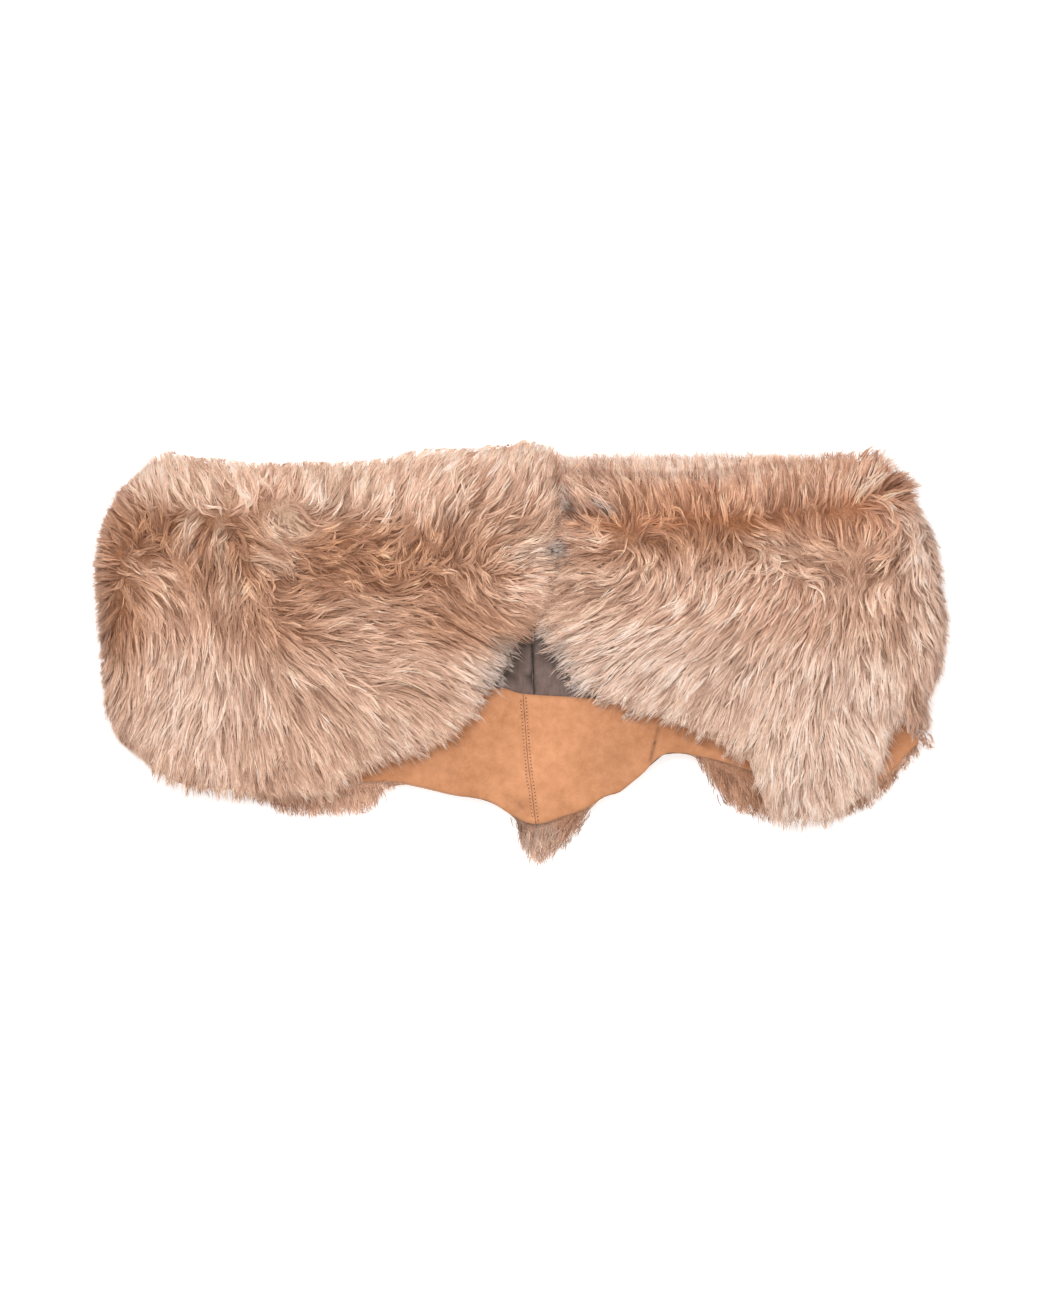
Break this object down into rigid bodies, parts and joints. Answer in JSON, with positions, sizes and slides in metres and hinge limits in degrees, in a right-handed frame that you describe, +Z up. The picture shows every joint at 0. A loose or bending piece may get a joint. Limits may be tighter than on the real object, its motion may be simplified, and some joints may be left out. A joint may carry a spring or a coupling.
{
  "type": "fur collar wrap",
  "caption": "Closed-loop neck wrap of long-haired lambskin, laid flat with the fur outside, front panels meeting edge to edge and a suede-faced back.",
  "frame": {"origin": "middle of the outline on the surface that the wrap lies on", "axes": "+X to the right as seen from above, +Y towards the neck edge, +Z up out of the surface"},
  "size_m": [0.7673, 0.3855, 0.0486],
  "materials": {
    "front_fur": "long soft wool pile, camel tipped with cream",
    "back_fur": "long soft wool pile, pressed flat underneath",
    "front_skin": "matt suede",
    "back_suede": "matt grey-brown suede",
    "facing_suede": "matt tan suede with a fine nap",
    "thread": "tan sewing thread"
  },
  "bodies": {
    "root": {"left_front_fur": "front_fur", "right_front_fur": "front_fur", "left_back_fur": "back_fur", "right_back_fur": "back_fur", "left_front_skin": "front_skin", "right_front_skin": "front_skin", "left_back_skin": "back_suede", "right_back_skin": "back_suede", "left_facing": "facing_suede", "right_facing": "facing_suede"}
  },
  "joints": []
}
